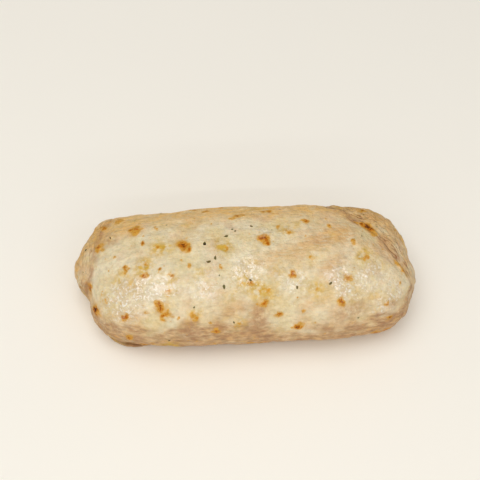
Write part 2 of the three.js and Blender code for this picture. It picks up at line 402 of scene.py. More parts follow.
class TortillaSettings(bpy.types.PropertyGroup):
    """Sizes and colours of the tortilla"""

    grain: bpy.props.FloatProperty(
        name="Grain",
        description="Size of the faces that carry the relief",
        default=0.74 * MM,
        min=0.5 * MM,
        precision=5,
        unit="LENGTH",
    )
    lumps: bpy.props.FloatProperty(
        name="Lumps",
        description="Height of the filling's soft lumps under the tortilla",
        default=0.45 * MM,
        precision=5,
        unit="LENGTH",
    )
    blisters: bpy.props.FloatProperty(
        name="Blisters",
        description="Height of the blisters that the griddle raised",
        default=0.4 * MM,
        precision=5,
        unit="LENGTH",
    )
    wrinkles: bpy.props.FloatProperty(
        name="Wrinkles",
        description="Depth of the fine wrinkles beside the folds and along the edges",
        default=0.3 * MM,
        precision=5,
        unit="LENGTH",
    )
    pale: bpy.props.FloatVectorProperty(
        name="Pale dough",
        description="The palest dough, where it is steamed rather than toasted",
        default=linear(238, 223, 188),
        subtype="COLOR",
    )
    cream: bpy.props.FloatVectorProperty(
        name="Cream dough",
        description="The tortilla's general colour",
        default=linear(228, 205, 156),
        subtype="COLOR",
    )
    greenish: bpy.props.FloatVectorProperty(
        name="Greenish dough",
        description="A cooler tint in broad patches of the cream dough",
        default=linear(222, 207, 156),
        subtype="COLOR",
    )
    pinkish: bpy.props.FloatVectorProperty(
        name="Pinkish dough",
        description="A warmer tint in broad patches of the cream dough",
        default=linear(226, 192, 154),
        subtype="COLOR",
    )
    # Low at the front this tan is partly painted shade, darker towards the bottom.
    tan: bpy.props.FloatVectorProperty(
        name="Tan dough",
        description="The drier, streaked dough along the sides and on the ends",
        default=linear(225, 177, 115),
        subtype="COLOR",
    )
    ochre: bpy.props.FloatVectorProperty(
        name="Ochre dough",
        description="The warm, streaked dough over the back",
        default=linear(248, 194, 108),
        subtype="COLOR",
    )
    golden: bpy.props.FloatVectorProperty(
        name="Golden",
        description="Butter-yellow patches",
        default=linear(216, 174, 72),
        subtype="COLOR",
    )
    amber: bpy.props.FloatVectorProperty(
        name="Amber",
        description="The soft orange round each toasted mark",
        default=linear(217, 160, 58),
        subtype="COLOR",
    )
    toasted: bpy.props.FloatVectorProperty(
        name="Toasted",
        description="The orange-brown of the toasted marks",
        default=linear(190, 106, 0),
        subtype="COLOR",
    )
    charred: bpy.props.FloatVectorProperty(
        name="Charred",
        description="The darkest middle of a toasted mark",
        default=linear(84, 42, 0),
        subtype="COLOR",
    )
    soaked: bpy.props.FloatVectorProperty(
        name="Soaked dough",
        description="The dough under the film of sauce",
        default=linear(222, 196, 158),
        subtype="COLOR",
    )
    # Partly painted glints: white specks in the wet patches, drawn as drops of sauce.
    sauce_and_glints: bpy.props.FloatVectorProperty(
        name="Sauce",
        description="Drops of the thin white sauce in the wet patches",
        default=linear(255, 248, 234),
        subtype="COLOR",
    )
    # Partly painted shade: darkest in the valleys of the fine wrinkles on the ends.
    scored_lines_and_shade: bpy.props.FloatVectorProperty(
        name="Scored lines",
        description="The fine red-brown lines that follow the folds",
        default=linear(158, 102, 58),
        subtype="COLOR",
    )
    # Also painted shade: low at the front and along the main creases.
    show_through_and_shade: bpy.props.FloatVectorProperty(
        name="Show-through",
        description="Where the filling shows through the dough",
        default=linear(184, 139, 99),
        subtype="COLOR",
    )


class HerbSettings(bpy.types.PropertyGroup):
    """Sizes and colours of the herb flecks"""

    scattered: bpy.props.IntProperty(
        name="Scattered",
        description="How many smaller flecks are strewn besides the listed ones",
        default=14,
        min=0,
    )
    thickness: bpy.props.FloatProperty(
        name="Thickness",
        description="Thickness of a fleck",
        default=0.22 * MM,
        precision=5,
        unit="LENGTH",
    )
    dry: bpy.props.FloatVectorProperty(
        name="Dry herb",
        description="Colour of the driest flecks",
        default=linear(104, 84, 22),
        subtype="COLOR",
    )
    green: bpy.props.FloatVectorProperty(
        name="Green herb",
        description="Colour of the greenest flecks",
        default=linear(94, 90, 26),
        subtype="COLOR",
    )


class StageSettings(bpy.types.PropertyGroup):
    """Floor, lights and camera"""

    floor: bpy.props.FloatVectorProperty(
        name="Floor",
        description="Colour of the floor",
        default=linear(254, 249, 238),
        subtype="COLOR",
    )
    ceiling: bpy.props.FloatProperty(
        name="Ceiling light",
        description="Power of the large soft light overhead, in watts",
        default=10.6,
        min=0,
    )
    tubes: bpy.props.FloatProperty(
        name="Tube lights",
        description="Power of each long thin light in front, which glint on the wet patches, in watts",
        default=0.95,
        min=0,
    )
    fill: bpy.props.FloatProperty(
        name="Fill",
        description="Strength of the even light from all round",
        default=0.39,
        min=0,
    )
    azimuth: bpy.props.FloatProperty(
        name="Azimuth",
        description="How far the camera stands round from the front, negative to the left",
        default=math.radians(-7.5),
        subtype="ANGLE",
    )
    elevation: bpy.props.FloatProperty(
        name="Elevation",
        description="How far the camera looks down",
        default=math.radians(58.5),
        subtype="ANGLE",
    )
    roll: bpy.props.FloatProperty(
        name="Roll",
        description="How far the camera is turned about its own line of sight",
        default=math.radians(2.85),
        subtype="ANGLE",
    )
    distance: bpy.props.FloatProperty(
        name="Distance",
        description="From the camera to the middle of the burrito",
        default=0.56,
        unit="LENGTH",
    )
    lens: bpy.props.FloatProperty(
        name="Lens",
        description="Focal length in millimetres, for a sensor 36 mm wide",
        default=75.55,
        min=1,
    )


# Objects and modifiers


def only(piece):
    """Selects a piece alone and makes it the active object."""
    bpy.ops.object.select_all(action="DESELECT")
    piece.select_set(True)
    bpy.context.view_layer.objects.active = piece


def apply_modifier(piece, kind, **settings):
    modifier = piece.modifiers.new(kind.title(), kind)
    for name, value in settings.items():
        setattr(modifier, name, value)
    only(piece)
    bpy.ops.object.modifier_apply(modifier=modifier.name)


def drop_specks(piece):
    """Removes the specks that a remesh leaves in narrow gaps: all that isn't joined to the top."""
    only(piece)
    bpy.ops.object.mode_set(mode="EDIT")
    bpy.ops.mesh.select_mode(type="VERT")
    bpy.ops.mesh.select_all(action="DESELECT")
    bpy.ops.object.mode_set(mode="OBJECT")
    highest = max(piece.data.vertices, key=lambda point: point.co.z)
    highest.select = True
    bpy.ops.object.mode_set(mode="EDIT")
    bpy.ops.mesh.select_linked()
    bpy.ops.mesh.select_all(action="INVERT")
    bpy.ops.mesh.delete(type="VERT")
    bpy.ops.object.mode_set(mode="OBJECT")


def soft_copy(name, node, grain):
    """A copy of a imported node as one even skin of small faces, with the facets rounded away."""
    mesh = node.data.copy()
    mesh.name = name
    mesh.materials.clear()
    piece = bpy.data.objects.new(name, mesh)
    bpy.context.collection.objects.link(piece)
    only(piece)
    bpy.ops.mesh.customdata_custom_splitnormals_clear()
    bpy.ops.object.mode_set(mode="EDIT")
    bpy.ops.mesh.select_all(action="SELECT")
    bpy.ops.mesh.remove_doubles(threshold=0.01 * MM)
    bend = math.radians(50)
    skew = math.radians(60)
    bpy.ops.mesh.tris_convert_to_quads(face_threshold=bend, shape_threshold=skew)
    bpy.ops.object.mode_set(mode="OBJECT")
    apply_modifier(piece, "SUBSURF", levels=2, render_levels=2)
    apply_modifier(piece, "REMESH", mode="VOXEL", voxel_size=grain, use_smooth_shade=True)
    drop_specks(piece)
    apply_modifier(piece, "SMOOTH", factor=0.5, iterations=8)
    return piece


# Points of a mesh, in millimetres


def places_of(piece):
    flat = np.empty(3 * len(piece.data.vertices))
    piece.data.vertices.foreach_get("co", flat)
    return flat.reshape(-1, 3) / MM


def facings_of(piece):
    flat = np.empty(3 * len(piece.data.vertices))
    piece.data.vertex_normals.foreach_get("vector", flat)
    return flat.reshape(-1, 3)


def move_to(piece, places):
    piece.data.vertices.foreach_set("co", (places * MM).ravel())
    piece.data.update()


def inside_box(places):
    """Places in mm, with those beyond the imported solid's box moved on to it."""
    lowest, highest = (np.array(corner) / MM for corner in CAD_BOX)
    return np.clip(places, lowest, highest)


def keep(piece, name, values):
    """Stores a number for each point, which the material reads by this name."""
    attribute = piece.data.attributes.new(name, "FLOAT", "POINT")
    attribute.data.foreach_set("value", values.astype(np.float32))


def rise(values, low, high):
    """0 below low and 1 above high, with a smooth way between. High may be the lower number."""
    share = np.clip((values - low) / (high - low), 0, 1)
    return share * share * (3 - 2 * share)


def cloud(places, size, seed):
    """Soft noise from about -1 to 1. Size is that of its lumps, one for each axis or one for all."""
    lattice = np.random.default_rng(seed).uniform(-1, 1, (CLOUD_CELLS,) * 3)
    at = places / size
    corner = np.floor(at).astype(int)
    share = at - corner
    share = share * share * (3 - 2 * share)
    total = np.zeros(len(places))
    for step in np.ndindex(2, 2, 2):
        weight = np.prod(np.where(step, share, 1 - share), axis=1)
        total += weight * lattice[tuple(((corner + step) % CLOUD_CELLS).T)]
    return CLOUD_GAIN * total


def angles_round(places):
    return np.degrees(np.arctan2(places[:, 2] - BELT_HEIGHT, places[:, 1])) % 360


def spot_on(places, along, angle):
    """The point of the surface that is nearest to a place along and round the roll."""
    turned = (angles_round(places) - angle + 180) % 360 - 180
    aside = np.hypot(places[:, 0] - along, np.radians(turned) * ROLL_RADIUS)
    return int(np.argmin(aside))


def cones(places, marks):
    """The strength of the nearest mark at each point, falling evenly to nothing at its radius."""
    strength = np.zeros(len(places))
    for along, angle, radius, dark in marks:
        away = np.linalg.norm(places - places[spot_on(places, along, angle)], axis=1)
        strength = np.maximum(strength, dark * np.clip(1 - away / radius, 0, 1))
    return strength


def domes(places, marks):
    """Rounded patches, which add where they overlap, up to 1."""
    strength = np.zeros(len(places))
    for along, angle, radius, amount in marks:
        away = np.linalg.norm(places - places[spot_on(places, along, angle)], axis=1)
        strength += amount * np.exp(-((away / radius) ** 2))
    return np.minimum(strength, 1)


def rounded(corners, steps=6):
    """More points on a smooth curve through the corners."""
    ends = [2 * corners[0] - corners[1], *corners, 2 * corners[-1] - corners[-2]]
    points = []
    for before, start, end, after in zip(ends, ends[1:], ends[2:], ends[3:]):
        for share in np.arange(steps) / steps:
            bend = 2 * before - 5 * start + 4 * end - after
            turn = 3 * start - before - 3 * end + after
            points.append(start + share / 2 * (end - before + share * (bend + share * turn)))
    return np.array([*points, corners[-1]])


def about_curve(places, facings, corners):
    """How far along a curve each point lies, and how far beside it, positive on the curve's left."""
    curve = rounded(np.array(corners, float))
    nearest = np.full(len(places), np.inf)
    along = np.zeros(len(places))
    beside = np.zeros(len(places))
    covered = 0
    for start, end in zip(curve[:-1], curve[1:]):
        run = end - start
        length = np.linalg.norm(run)
        share = np.clip((places - start) @ run / length**2, 0, 1)
        offset = places - (start + share[:, None] * run)
        away = np.linalg.norm(offset, axis=1)
        depth = np.einsum("ij,ij->i", offset, facings) * rise(away, 20, 8)
        level = np.sqrt(np.maximum(away**2 - depth**2, 0))
        left = np.einsum("ij,ij->i", np.cross(run, offset), facings) >= 0
        closer = away < nearest
        nearest[closer] = away[closer]
        beside[closer] = np.where(left, level, -level)[closer]
        along[closer] = (covered + share * length)[closer]
        covered += length
    return along, beside


def strewn(places, count, sizes, strengths, seed):
    """Marks strewn over the whole surface at random, with sizes and strengths between two limits."""
    draw = np.random.default_rng(seed)
    chosen = places[draw.choice(len(places), count, replace=False)]
    angles = angles_round(chosen)
    return list(zip(chosen[:, 0], angles, draw.uniform(*sizes, count), draw.uniform(*strengths, count)))


def out_of_view(marks):
    """The marks on the sides that the camera doesn't see."""
    return [mark for mark in marks if not IN_VIEW[0] < mark[1] < IN_VIEW[1]]


# The tortilla's relief and browning


class Skin:
    """The tortilla's points in mm, the way they face, and where they lie about each crease."""

    # The angles over which the tan of the front and of the back comes in, weakens and ends. The front's
    # tan is partly painted shade.
    FRONT_COMES = (145, 186)
    FRONT_WEAKENS = (225, 195)
    FRONT_ENDS = (320, 300)
    BACK_COMES = (73, 46)
    BACK_WEAKENS = (8, 36)
    BACK_ENDS = (300, 320)

    # Where the ends of the inner roll come in, in mm: beside their crease, along X and along Y.
    RIGHT_BESIDE = (-5, 0.5)
    RIGHT_ALONG = (36, 50)
    RIGHT_ACROSS = (-22, -8)
    LEFT_BESIDE = (-2.5, 2)
    LEFT_ALONG = (-62, -70)

    # The painted shade along a crease, in mm: how wide it and its pinched hem are, how far off the
    # middle of the hem lies, and over what length the crease fades at its start and at its end.
    CREASE_WIDTH = 2.6
    HEM_AWAY = 2.5
    HEM_WIDTH = 4.5
    FADES_IN = 12
    FADES_OUT = 16

    # Wrinkles that follow a crease: how long and how wide they are in mm.
    RIDGES = (15, 1.4, 1)
    PUCKERS = (18, 3.2, 1)

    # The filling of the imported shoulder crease: its width, and over what length it grows, in mm.
    FILL_WIDTH = 4.8
    FILL_GROWS = (34, 16)

    def __init__(self, piece):
        self.places = places_of(piece)
        self.facings = facings_of(piece)
        self.along = {}
        self.beside = {}
        for name, corners in CREASES.items():
            self.along[name], self.beside[name] = about_curve(self.places, self.facings, corners)

    def sides(self):
        """Where the dough is tan and streaked: low at the front, where the tan is partly painted shade,
        and over the back.
        """
        angle = angles_round(self.places) + 8 * cloud(self.places, (24, 40, 40), seed=11)
        ragged = angle + 9 * cloud(self.places, 6, seed=12)
        front = rise(ragged, *self.FRONT_COMES) * rise(angle, *self.FRONT_ENDS)
        front *= 0.45 + 0.55 * rise(angle, *self.FRONT_WEAKENS)
        back = rise(angle, *self.BACK_COMES) * (0.5 + 0.5 * rise(angle, *self.BACK_WEAKENS))
        back += 0.5 * rise(angle, *self.BACK_ENDS)
        return np.clip(front, 0, 1), np.clip(back, 0, 1)

    def inner_ends(self):
        """Where the drier ends of the inner roll show, beyond the wrap that is folded in over them."""
        loose = 1.6 * cloud(self.places, 5, seed=18)
        right = rise(self.beside["shoulder"] + loose, *self.RIGHT_BESIDE)
        right *= rise(self.places[:, 0], *self.RIGHT_ALONG)
        right *= rise(self.places[:, 1], *self.RIGHT_ACROSS)
        left = rise(self.beside["nose"] + loose, *self.LEFT_BESIDE)
        left *= rise(self.places[:, 0], *self.LEFT_ALONG)
        return right, left

    def folded(self):
        """How near each point is to a main crease, which fades at both ends, and to its pinched hem:
        masks for painted shade.
        """
        crease = np.zeros(len(self.places))
        pinched = np.zeros(len(self.places))
        for name in MAIN_CREASES:
            side = np.abs(self.beside[name])
            ran = self.along[name]
            faded = rise(ran, 0, self.FADES_IN) * rise(ran, ran.max(), ran.max() - self.FADES_OUT)
            crease = np.maximum(crease, faded * np.exp(-((side / self.CREASE_WIDTH) ** 2)))
            hem = (side - self.HEM_AWAY) / self.HEM_WIDTH
            pinched = np.maximum(pinched, np.exp(-(hem**2)))
        tight = 1 - 0.8 * rise(self.places[:, 0], 60, 80) * rise(self.places[:, 1], -8, -20)
        return tight * crease, pinched

    def fold_relief(self, wrinkles):
        """Valleys along the creases, and wrinkles that follow the main ones on the inner roll."""
        relief = np.zeros(len(self.places))
        right, left = self.inner_ends()
        for name, side in self.beside.items():
            main = name in MAIN_CREASES
            depth = 0.45 + 0.35 * cloud(self.places, 9, seed=19) if main else 0.35
            width = 1.5 + 0.5 * cloud(self.places, 7, seed=20)
            relief -= depth * np.exp(-((side / width) ** 2))
            if main:
                about = np.c_[self.along[name], side, np.zeros(len(side))]
                ridges = cloud(about, self.RIDGES, seed=21)
                puckers = cloud(about, self.PUCKERS, seed=22)
                share = right if name == "shoulder" else 0.6 * left
                relief += wrinkles * (1.2 * ridges + 1.7 * puckers) * share
        # Over the back the wrap lies flat on the inner roll, and elsewhere the fold is shallow, so the
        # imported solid's crease is filled there, wholly or in part.
        filled = 0.7 + 0.8 * rise(self.along["shoulder"], *self.FILL_GROWS)
        relief += filled * np.exp(-((self.beside["shoulder"] / self.FILL_WIDTH) ** 2))
        return relief

    def side_relief(self, wrinkles):
        """Long shallow wrinkles along the sides."""
        wide = cloud(self.places, (17, 2.3, 2.3), seed=34)
        fine = cloud(self.places, (9, 1.4, 1.4), seed=35)
        return wrinkles * (wide + 0.6 * fine) * np.maximum(sum(self.sides()), 0.3)

    def blister_relief(self, marks):
        """Low domes over marks, where the dough stood up against the griddle."""
        height = np.zeros(len(self.places))
        for along, angle, radius, dark in marks:
            away = np.linalg.norm(self.places - self.places[spot_on(self.places, along, angle)], axis=1)
            height = np.maximum(height, min(dark, 1) * np.exp(-((away / (0.8 * radius)) ** 2)))
        return height


def shape_tortilla(piece, settings):
    """Moves the points of the smooth skin out and in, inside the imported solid's box."""
    skin = Skin(piece)
    places = skin.places
    lumps = settings.lumps / MM
    wrinkles = settings.wrinkles / MM
    blisters = settings.blisters / MM
    broad = cloud(places, 15, seed=31)
    middling = 0.6 * cloud(places, 6.5, seed=32)
    small = 0.35 * cloud(places, 2.6, seed=33)
    relief = lumps * (broad + middling + small)
    relief += skin.side_relief(wrinkles) + skin.fold_relief(wrinkles)
    puffs = strewn(places, *PUFFS, seed=36)
    relief += blisters * (skin.blister_relief(TOASTED) + 0.7 * skin.blister_relief(puffs))
    clear_of_floor = rise(places[:, 2], *CLEAR_OF_FLOOR)
    shifted = places + skin.facings * ((relief - 0.5 * lumps) * clear_of_floor)[:, None]
    shifted[places[:, 2] < ON_FLOOR, 2] = 0
    move_to(piece, inside_box(shifted))


def brown_tortilla(piece):
    """Stores where the dough is toasted, golden, bruised, tanned, streaked and wet."""
    skin = Skin(piece)
    places = skin.places
    blurred = places + np.column_stack([cloud(places, WARP_SIZE, seed) for seed in (46, 47, 48)]) * WARP
    freckles = strewn(places, *FRECKLES, seed=41)
    hidden = out_of_view(strewn(places, *HIDDEN_MARKS, seed=42))
    gold = out_of_view(strewn(places, *HIDDEN_YELLOW, seed=43))
    spread = [
        (along, angle, MARK_SPREAD * radius, MARK_STRENGTH * dark**MARK_CONTRAST)
        for along, angle, radius, dark in TOASTED
    ]
    halos = [
        (along, angle, HALO_SPREAD * radius, HALO_STRENGTH * dark)
        for along, angle, radius, dark in spread
    ]
    right, left = skin.inner_ends()
    keep(piece, "toasted", cones(blurred, spread + freckles + hidden))
    keep(piece, "halo", domes(blurred, halos))
    butter = [
        (along, angle, radius, YELLOW_STRENGTH * amount)
        for along, angle, radius, amount in YELLOWED + gold
    ]
    keep(piece, "golden", domes(blurred, butter))
    keep(piece, "steamed", domes(places, STEAMED))
    keep(piece, "bruised", domes(places, BRUISED))
    keep(piece, "tanned", domes(places, TANNED))
    front, back = skin.sides()
    keep(piece, "front", front)
    keep(piece, "back", back)
    keep(piece, "right end", right)
    keep(piece, "left end", left)
    keep(piece, "along", np.where(right > 0, skin.along["shoulder"], skin.along["nose"]))
    keep(piece, "beside", np.where(right > 0, skin.beside["shoulder"], skin.beside["nose"]))
    crease, pinched = skin.folded()
    keep(piece, "crease", crease)
    keep(piece, "pinched", pinched)
    keep(piece, "wet", domes(places, WET))


# Materials


class Recipe:
    """A material's node tree, with a short way to add and link its nodes."""

    def __init__(self, name):
        self.material = bpy.data.materials.new(name)
        self.material.use_nodes = True
        self.tree = self.material.node_tree
        self.tree.nodes.clear()
        self.shader = self.add("ShaderNodeBsdfPrincipled")
        output = self.add("ShaderNodeOutputMaterial")
        self.link(self.shader.outputs["BSDF"], output.inputs["Surface"])
        self.here = self.add("ShaderNodeTexCoord").outputs["Object"]

    def add(self, kind, **settings):
        node = self.tree.nodes.new(kind)
        for name, value in settings.items():
            setattr(node, name, value)
        return node

    def link(self, source, target):
        self.tree.links.new(source, target)

    def put(self, socket, value):
        """Sets a socket to a number or colour, or links it to another node's output."""
        if isinstance(value, bpy.types.NodeSocket):
            self.link(value, socket)
        elif hasattr(value, "__len__") and len(value) == 3 and socket.type == "RGBA":
            socket.default_value = (*value, 1)
        else:
            socket.default_value = value

    def stored(self, name):
        """A number that the mesh holds for each point."""
        return self.add("ShaderNodeAttribute", attribute_name=name).outputs["Fac"]

    def stretched(self, scale):
        """Object coordinates, scaled along each axis."""
        mapping = self.add("ShaderNodeMapping")
        mapping.inputs["Scale"].default_value = scale
        self.link(self.here, mapping.inputs["Vector"])
        return mapping.outputs["Vector"]

    def noise(self, size, detail=3.0, roughness=0.55, where=None, waviness=0.0):
        """Noise from 0 to 1 with features as large as size, in mm."""
        node = self.add("ShaderNodeTexNoise")
        node.inputs["Scale"].default_value = 1 / (size * MM)
        node.inputs["Detail"].default_value = detail
        node.inputs["Roughness"].default_value = roughness
        node.inputs["Distortion"].default_value = waviness
        self.link(where or self.here, node.inputs["Vector"])
        return node.outputs["Fac"]

    def maths(self, operation, first, second=0.0, clamp=False):
        node = self.add("ShaderNodeMath", operation=operation, use_clamp=clamp)
        self.put(node.inputs[0], first)
        self.put(node.inputs[1], second)
        return node.outputs[0]

    def between(self, value, low, high, first=0.0, last=1.0):
        """Maps a value between low and high smoothly to a number between first and last."""
        node = self.add("ShaderNodeMapRange", interpolation_type="SMOOTHSTEP")
        self.put(node.inputs["Value"], value)
        self.put(node.inputs["From Min"], low)
        self.put(node.inputs["From Max"], high)
        self.put(node.inputs["To Min"], first)
        self.put(node.inputs["To Max"], last)
        return node.outputs["Result"]

    def mix(self, share, first, second, blend="MIX"):
        node = self.add("ShaderNodeMix", data_type="RGBA", blend_type=blend)
        self.put(node.inputs[0], share)
        self.put(node.inputs[6], first)
        self.put(node.inputs[7], second)
        return node.outputs[2]

    def tint(self, dough, colour, share, *others):
        """Mixes a colour into the dough, by one share times any others."""
        for other in others:
            share = self.maths("MULTIPLY", share, other)
        return self.mix(share, dough, colour)

    def bump(self, height, distance, strength=1.0, after=None):
        """A bump of a height from 0 to 1 that stands so far out, in mm."""
        node = self.add("ShaderNodeBump")
        node.inputs["Strength"].default_value = strength
        node.inputs["Distance"].default_value = distance * MM
        self.link(height, node.inputs["Height"])
        if after:
            self.link(after, node.inputs["Normal"])
        return node.outputs["Normal"]


def fold_lines(recipe):
    """Fine wavy lines on the ends of the inner roll that follow the creases, from 0 to 1."""
    where = recipe.add("ShaderNodeCombineXYZ")
    sway = recipe.maths("MULTIPLY", recipe.noise(11, detail=1), 7.0)
    beside = recipe.maths("ADD", recipe.stored("beside"), sway)
    recipe.put(where.inputs["X"], recipe.maths("MULTIPLY", recipe.stored("along"), 0.12 * MM))
    recipe.put(where.inputs["Y"], recipe.maths("MULTIPLY", beside, MM))
    return recipe.noise(1.1, detail=3, roughness=0.6, where=where.outputs["Vector"])


def steamed_dough(recipe, settings):
    """The soft dough's colour: mottled cream and pale, here and there a little green or pink."""
    mottle = recipe.between(recipe.noise(10, detail=4), 0.36, 0.64)
    dough = recipe.mix(mottle, settings.cream, settings.pale)
    dough = recipe.tint(dough, settings.greenish, recipe.between(recipe.noise(17), 0.5, 0.68, 0, 0.4))
    dough = recipe.tint(dough, settings.pinkish, recipe.between(recipe.noise(13), 0.5, 0.68, 0, 0.6))
    grain = recipe.between(recipe.noise(2.4, detail=3), 0.45, 0.7, 0, 0.5)
    dough = recipe.tint(dough, settings.pale, grain)
    return recipe.tint(dough, settings.pale, recipe.stored("steamed"))


def with_dry_sides(recipe, settings, dough, streaks, ends):
    """Adds the tan, streaked dough of the sides and of the inner roll's ends, and the bruises, with
    painted shade low at the front and along the main creases.
    """
    patchy = recipe.between(recipe.noise(7, detail=3), 0.35, 0.65, 0.6, 1)
    streaked = recipe.maths("MULTIPLY", recipe.between(streaks, 0.35, 0.65, 0.62, 1), patchy)
    front = recipe.stored("front")
    dough = recipe.tint(dough, settings.ochre, recipe.stored("back"), streaked)
    # Low at the front the tan, and the show-through smears below it, are partly painted shade, darker
    # towards the bottom.
    dough = recipe.tint(dough, settings.tan, front, streaked)
    smeared = recipe.stretched((0.45, 1, 1))
    smears = recipe.between(recipe.noise(2.6, detail=5, roughness=0.62, where=smeared), 0.3, 0.66)
    dough = recipe.tint(dough, settings.show_through_and_shade, recipe.between(front, 0.2, 0.85), smears)
    mixed = recipe.between(recipe.noise(6, detail=3), 0.35, 0.65, 0.22, 0.7)
    dough = recipe.tint(dough, settings.tan, ends, mixed)
    banded = recipe.between(streaks, 0.35, 0.6, 0.35, 1)
    dough = recipe.tint(dough, settings.tan, recipe.stored("tanned"), banded)
    # Painted shade along the main creases, in the show-through colour.
    uneven = recipe.between(recipe.noise(5), 0.35, 0.65, 0.2, 0.8)
    dough = recipe.tint(dough, settings.show_through_and_shade, recipe.stored("crease"), uneven)
    torn = recipe.between(recipe.noise(3, detail=4, roughness=0.65), 0.3, 0.62)
    return recipe.tint(dough, settings.show_through_and_shade, recipe.stored("bruised"), torn)


def with_browning(recipe, settings, dough):
    """Adds the butter-yellow patches, and the toasted marks with ragged rims and dark middles."""
    broken = recipe.between(recipe.noise(3, detail=3, roughness=0.6), 0.36, 0.6, 0.1, 1)
    dough = recipe.tint(dough, settings.golden, recipe.stored("golden"), broken)
    freckled = recipe.between(recipe.noise(2, detail=2), 0.64, 0.76, 0, 0.4)
    dough = recipe.tint(dough, settings.golden, freckled)
    halo = recipe.between(recipe.stored("halo"), 0.1, 0.9, 0, 0.65)
    dough = recipe.tint(dough, settings.amber, halo)
    ragged = recipe.between(recipe.noise(1.5, detail=3, roughness=0.7), 0.3, 0.7, 0.4, 1.5)
    heat = recipe.maths("MULTIPLY", recipe.stored("toasted"), ragged)
    dough = recipe.tint(dough, settings.amber, recipe.between(heat, 0.05, 0.4, 0, 0.9))
    dough = recipe.tint(dough, settings.toasted, recipe.between(heat, 0.34, 0.9))
    return recipe.tint(dough, settings.charred, recipe.between(heat, 0.95, 1.4))


def with_lines(recipe, settings, dough, lines, ends):
    """Adds uneven lights and darks, and fine red-brown lines on the inner roll's ends, partly painted
    shade in their wrinkle valleys.
    """
    blotches = recipe.between(recipe.noise(3.4, detail=5, roughness=0.65), 0.34, 0.66, 0.9, 1.07)
    dough = recipe.mix(1.0, dough, blotches, blend="MULTIPLY")
    # Dark lines where the wrinkles dip: partly red-brown, partly painted shade, deepest beside the
    # pinched hem.
    depth = recipe.maths("MULTIPLY", ends, recipe.between(recipe.stored("pinched"), 0, 1, 0.3, 0.95))
    return recipe.tint(dough, settings.scored_lines_and_shade, recipe.between(lines, 0.47, 0.36), depth)


def with_wet_film(recipe, settings, dough):
    """Adds a moist sheen with a film of sauce in patches, thick and white where it gathers in drops,
    which are partly painted glints.
    """
    pooled = recipe.between(recipe.noise(3.6), 0.38, 0.56, 0.12, 1)
    wet = recipe.maths("MULTIPLY", recipe.stored("wet"), pooled)
    dried = recipe.between(recipe.stored("toasted"), 0.1, 0.5, 1, 0.3)
    gathered_glints = recipe.between(recipe.noise(1.4, detail=2), 0.52, 0.62, 0, 0.9)
    film = recipe.between(wet, 0.05, 0.6, 0.04, 1)
    shader = recipe.shader
    recipe.put(shader.inputs["Roughness"], recipe.between(wet, 0, 0.8, 0.42, 0.2))
    recipe.put(shader.inputs["Coat Weight"], recipe.maths("MULTIPLY", film, dried))
    recipe.put(shader.inputs["Coat Normal"], recipe.bump(recipe.noise(1.6, detail=1), 0.36))
    shader.inputs["Coat Roughness"].default_value = 0.08
    shader.inputs["Coat IOR"].default_value = 1.9
    dough = recipe.tint(dough, settings.soaked, recipe.between(wet, 0.1, 0.9, 0, 0.5), dried)
    # White specks in the wet patches: partly sauce drops, partly painted glints.
    return recipe.tint(dough, settings.sauce_and_glints, wet, gathered_glints, dried)


def fine_relief(recipe, lines, streaks, ends):
    """Crinkles all over, and fine lines on the sides and on the inner roll's ends."""
    crinkled = recipe.bump(recipe.noise(2.6, detail=3, roughness=0.6), 1.5, 0.8)
    lined = recipe.bump(recipe.maths("MULTIPLY", lines, ends), 1.2, after=crinkled)
    either = recipe.maths("ADD", recipe.stored("back"), recipe.stored("front"))
    sides = recipe.between(either, 0, 1, 0.45, 1)
    return recipe.bump(recipe.maths("MULTIPLY", streaks, sides), 1.4, 0.9, after=lined)


def tortilla_material(settings):
    recipe = Recipe("tortilla")
    light_left = recipe.maths("MULTIPLY", recipe.stored("left end"), 0.62)
    ends = recipe.maths("MAXIMUM", recipe.stored("right end"), light_left)
    lines = fold_lines(recipe)
    along_roll = recipe.stretched((0.22, 1, 1))
    streaks = recipe.noise(1.5, detail=4, roughness=0.6, where=along_roll, waviness=0.7)
    dough = steamed_dough(recipe, settings)
    dough = with_dry_sides(recipe, settings, dough, streaks, ends)
    dough = with_browning(recipe, settings, dough)
    dough = with_lines(recipe, settings, dough, lines, ends)
    dough = with_wet_film(recipe, settings, dough)
    shader = recipe.shader
    recipe.put(shader.inputs["Base Color"], dough)
    recipe.put(shader.inputs["Normal"], fine_relief(recipe, lines, streaks, ends))
    shader.inputs["Specular IOR Level"].default_value = 0.12
    shader.inputs["Subsurface Weight"].default_value = 0.08
    shader.inputs["Subsurface Radius"].default_value = (1.0, 0.55, 0.3)
    shader.inputs["Subsurface Scale"].default_value = 1.2 * MM
    return recipe.material


def herb_material(settings):
    recipe = Recipe("dried herb")
    green = recipe.between(recipe.noise(5, detail=1), 0.4, 0.6)
    colour = recipe.mix(green, settings.dry, settings.green)
    recipe.put(recipe.shader.inputs["Base Color"], colour)
    recipe.shader.inputs["Roughness"].default_value = 0.6
    return recipe.material


def floor_material(settings):
    recipe = Recipe("floor")
    shade = recipe.between(recipe.noise(60, detail=2), 0.3, 0.7, 0.985, 1)
    colour = recipe.mix(shade, (0.8, 0.8, 0.8), settings.floor)
    recipe.put(recipe.shader.inputs["Base Color"], colour)
    recipe.shader.inputs["Roughness"].default_value = 0.9
    return recipe.material


# Pieces


class BURRITO_OT_tortilla(bpy.types.Operator):
    """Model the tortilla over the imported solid, with its folds, blisters and browning"""

    bl_idname = "burrito.tortilla"
    bl_label = "Tortilla"

    def execute(self, context):
        settings = context.scene.burrito_tortilla
        piece = soft_copy("tortilla", frame["nodes"][NODE], settings.grain)
        shape_tortilla(piece, settings)
        brown_tortilla(piece)
        piece.data.materials.append(tortilla_material(settings))
        only(piece)
        bpy.ops.object.shade_smooth()
        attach(piece, "root")
        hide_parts(NODE)
        return {"FINISHED"}


